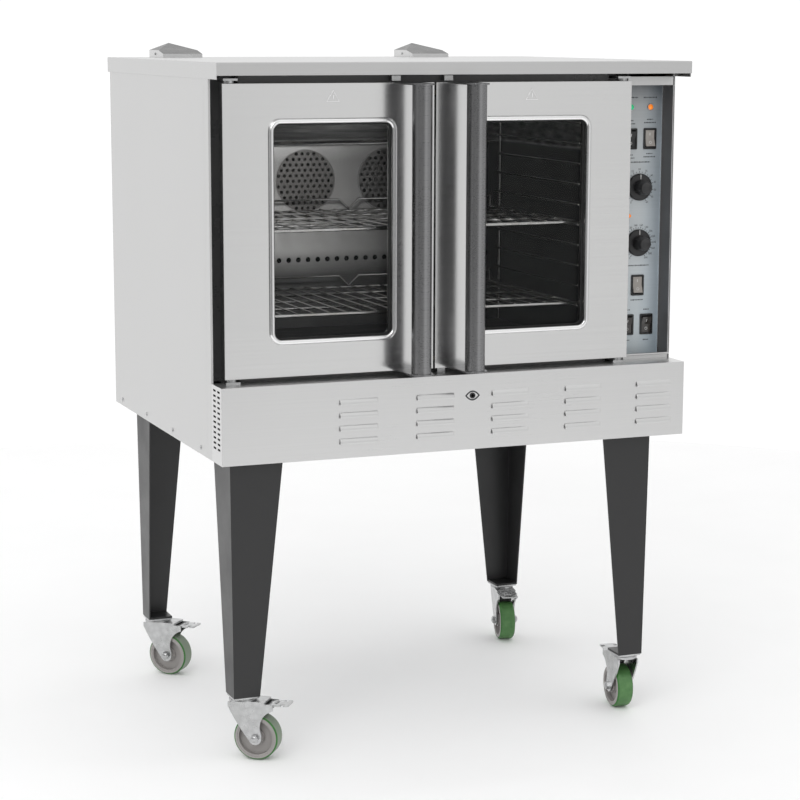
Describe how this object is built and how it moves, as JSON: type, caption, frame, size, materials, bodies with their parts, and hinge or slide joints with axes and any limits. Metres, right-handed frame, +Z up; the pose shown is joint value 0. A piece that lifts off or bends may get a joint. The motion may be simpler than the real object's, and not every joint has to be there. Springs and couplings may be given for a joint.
{
  "type": "convection deck oven",
  "caption": "Convection deck oven on tall castored legs, with side-hinged glazed doors, tube handles, wire racks, rear fans and a recessed control column.",
  "frame": {"origin": "centre of the bounding box's base, on the floor the wheels stand on", "axes": "+Z up, the doors face -Y, +X towards the control column (the viewer's right when facing the doors)"},
  "size_m": [0.9694, 0.8514, 1.3502],
  "materials": {
    "stainless": "fine brushed",
    "stainless_dark": "satin",
    "galvanised": "matt galvanised",
    "leg_paint": "satin",
    "enamel": "gloss enamel",
    "zinc": "bright zinc",
    "wire": "nickel plate",
    "wheel_core": "moulded",
    "tread": "smooth",
    "pedal": "satin",
    "glass": "clear",
    "black_plastic": "gloss",
    "light_plastic": "satin",
    "lamp": "clear lens",
    "cast": "rough",
    "motor": "satin",
    "wool": "matt fibre"
  },
  "bodies": {
    "oven_body": {"cavity_liner": "enamel", "fan_baffle": "stainless_dark", "rack_guides": "wire", "front_frame": "stainless", "left_side_panel": "stainless", "right_side_panel": "stainless", "back_panel": "galvanised", "top_cover": "stainless", "base_pan": "galvanised", "lower_front_panel": "stainless", "control_fascia": "stainless_dark", "front_trims": "stainless", "flue_caps": "stainless", "fan_motors": "motor", "gas_burners": "cast", "door_hardware": "zinc", "panel_screws": "zinc", "pilot_lights": "lamp", "switch_bodies": "black_plastic", "insulation": "wool", "caster_plates": "zinc", "leg_front_left": "leg_paint", "leg_front_right": "leg_paint", "leg_rear_left": "leg_paint", "leg_rear_right": "leg_paint"},
    "left_door": {"left_door_shell": "stainless", "left_door_liner": "stainless_dark", "left_door_glass": "glass", "left_door_handle": "stainless"},
    "right_door": {"right_door_shell": "stainless", "right_door_liner": "stainless_dark", "right_door_glass": "glass", "right_door_handle": "stainless"},
    "upper_rack": {"upper_rack": "wire"},
    "lower_rack": {"lower_rack": "wire"},
    "timer_knob": {"timer_knob": "black_plastic"},
    "thermostat_knob": {"thermostat_knob": "black_plastic"},
    "rocker_upper_left": {"rocker_upper_left": "black_plastic"},
    "rocker_upper_right": {"rocker_upper_right": "light_plastic"},
    "rocker_middle": {"rocker_middle": "light_plastic"},
    "rocker_lower_left": {"rocker_lower_left": "black_plastic"},
    "rocker_lower_right": {"rocker_lower_right": "black_plastic"},
    "fan_left": {"fan_wheel_left": "galvanised"},
    "fan_right": {"fan_wheel_right": "galvanised"},
    "caster_front_left": {"caster_fork_front_left": "zinc"},
    "wheel_front_left": {"wheel_core_front_left": "wheel_core", "wheel_tread_front_left": "tread"},
    "brake_front_left": {"brake_pedal_front_left": "pedal"},
    "caster_front_right": {"caster_fork_front_right": "zinc"},
    "wheel_front_right": {"wheel_core_front_right": "wheel_core", "wheel_tread_front_right": "tread"},
    "brake_front_right": {"brake_pedal_front_right": "pedal"},
    "caster_rear_left": {"caster_fork_rear_left": "zinc"},
    "wheel_rear_left": {"wheel_core_rear_left": "wheel_core", "wheel_tread_rear_left": "tread"},
    "brake_rear_left": {"brake_pedal_rear_left": "pedal"},
    "caster_rear_right": {"caster_fork_rear_right": "zinc"},
    "wheel_rear_right": {"wheel_core_rear_right": "wheel_core", "wheel_tread_rear_right": "tread"},
    "brake_rear_right": {"brake_pedal_rear_right": "pedal"}
  },
  "joints": [
    {"name": "left_door_hinge", "type": "hinge", "parent": "oven_body", "child": "left_door", "pos_m": [-0.4476, -0.32, 0.7351], "axis": [0, 0, -1], "range_deg": [0, 120]},
    {"name": "right_door_hinge", "type": "hinge", "parent": "oven_body", "child": "right_door", "pos_m": [0.3568, -0.32, 0.7351], "axis": [0, 0, 1], "range_deg": [0, 120]},
    {"name": "upper_rack_slide", "type": "slide", "parent": "oven_body", "child": "upper_rack", "axis": [0, -1, 0], "range_m": [0, 0.018]},
    {"name": "lower_rack_slide", "type": "slide", "parent": "oven_body", "child": "lower_rack", "axis": [0, -1, 0], "range_m": [0, 0.018]},
    {"name": "timer_knob_turn", "type": "hinge", "parent": "oven_body", "child": "timer_knob", "pos_m": [0.4294, -0.26335, 1.0683], "axis": [0, 1, 0], "range_deg": [0, 300]},
    {"name": "thermostat_knob_turn", "type": "hinge", "parent": "oven_body", "child": "thermostat_knob", "pos_m": [0.4294, -0.26335, 0.9563], "axis": [0, 1, 0], "range_deg": [0, 300]},
    {"name": "rocker_upper_left_press", "type": "hinge", "parent": "oven_body", "child": "rocker_upper_left", "pos_m": [0.4079, -0.26035, 1.1648], "axis": [-1, 0, 0], "range_deg": [0, 18]},
    {"name": "rocker_upper_right_press", "type": "hinge", "parent": "oven_body", "child": "rocker_upper_right", "pos_m": [0.4509, -0.26035, 1.1648], "axis": [1, 0, 0], "range_deg": [0, 18]},
    {"name": "rocker_middle_press", "type": "hinge", "parent": "oven_body", "child": "rocker_middle", "pos_m": [0.4294, -0.26035, 0.8703], "axis": [1, 0, 0], "range_deg": [0, 18]},
    {"name": "rocker_lower_left_press", "type": "hinge", "parent": "oven_body", "child": "rocker_lower_left", "pos_m": [0.4079, -0.26035, 0.7903], "axis": [-1, 0, 0], "range_deg": [0, 18]},
    {"name": "rocker_lower_right_press", "type": "hinge", "parent": "oven_body", "child": "rocker_lower_right", "pos_m": [0.4509, -0.26035, 0.7903], "axis": [-1, 0, 0], "range_deg": [0, 18]},
    {"name": "fan_left_spin", "type": "hinge", "parent": "oven_body", "child": "fan_left", "pos_m": [-0.1374, 0.23265, 1.067], "axis": [0, 1, 0], "continuous": true},
    {"name": "fan_right_spin", "type": "hinge", "parent": "oven_body", "child": "fan_right", "pos_m": [0.0466, 0.23265, 1.067], "axis": [0, 1, 0], "continuous": true},
    {"name": "swivel_front_left", "type": "hinge", "parent": "oven_body", "child": "caster_front_left", "pos_m": [-0.431, -0.32025, 0.123], "axis": [0, 0, 1], "continuous": true},
    {"name": "wheel_front_left_spin", "type": "hinge", "parent": "caster_front_left", "child": "wheel_front_left", "pos_m": [-0.40688, -0.33809, 0.044], "axis": [0.5948, 0.8039, 0], "continuous": true},
    {"name": "brake_front_left_press", "type": "hinge", "parent": "caster_front_left", "child": "brake_front_left", "pos_m": [-0.40206, -0.34166, 0.102], "axis": [0.5948, 0.8039, 0], "range_deg": [0, 8]},
    {"name": "swivel_front_right", "type": "hinge", "parent": "oven_body", "child": "caster_front_right", "pos_m": [0.387, -0.32025, 0.123], "axis": [0, 0, 1], "continuous": true},
    {"name": "wheel_front_right_spin", "type": "hinge", "parent": "caster_front_right", "child": "wheel_front_right", "pos_m": [0.39014, -0.29041, 0.044], "axis": [-0.9945, 0.1045, 0], "continuous": true},
    {"name": "brake_front_right_press", "type": "hinge", "parent": "caster_front_right", "child": "brake_front_right", "pos_m": [0.39076, -0.28445, 0.102], "axis": [-0.9945, 0.1045, 0], "range_deg": [0, 8]},
    {"name": "swivel_rear_left", "type": "hinge", "parent": "oven_body", "child": "caster_rear_left", "pos_m": [-0.431, 0.28975, 0.123], "axis": [0, 0, 1], "continuous": true},
    {"name": "wheel_rear_left_spin", "type": "hinge", "parent": "caster_rear_left", "child": "wheel_rear_left", "pos_m": [-0.40935, 0.26899, 0.044], "axis": [0.6921, 0.7218, 0], "continuous": true},
    {"name": "brake_rear_left_press", "type": "hinge", "parent": "caster_rear_left", "child": "brake_rear_left", "pos_m": [-0.40502, 0.26483, 0.102], "axis": [0.6921, 0.7218, 0], "range_deg": [0, 8]},
    {"name": "swivel_rear_right", "type": "hinge", "parent": "oven_body", "child": "caster_rear_right", "pos_m": [0.387, 0.28975, 0.123], "axis": [0, 0, 1], "continuous": true},
    {"name": "wheel_rear_right_spin", "type": "hinge", "parent": "caster_rear_right", "child": "wheel_rear_right", "pos_m": [0.38056, 0.26045, 0.044], "axis": [0.9767, -0.2147, 0], "continuous": true},
    {"name": "brake_rear_right_press", "type": "hinge", "parent": "caster_rear_right", "child": "brake_rear_right", "pos_m": [0.37927, 0.25459, 0.102], "axis": [0.9767, -0.2147, 0], "range_deg": [0, 8]}
  ]
}
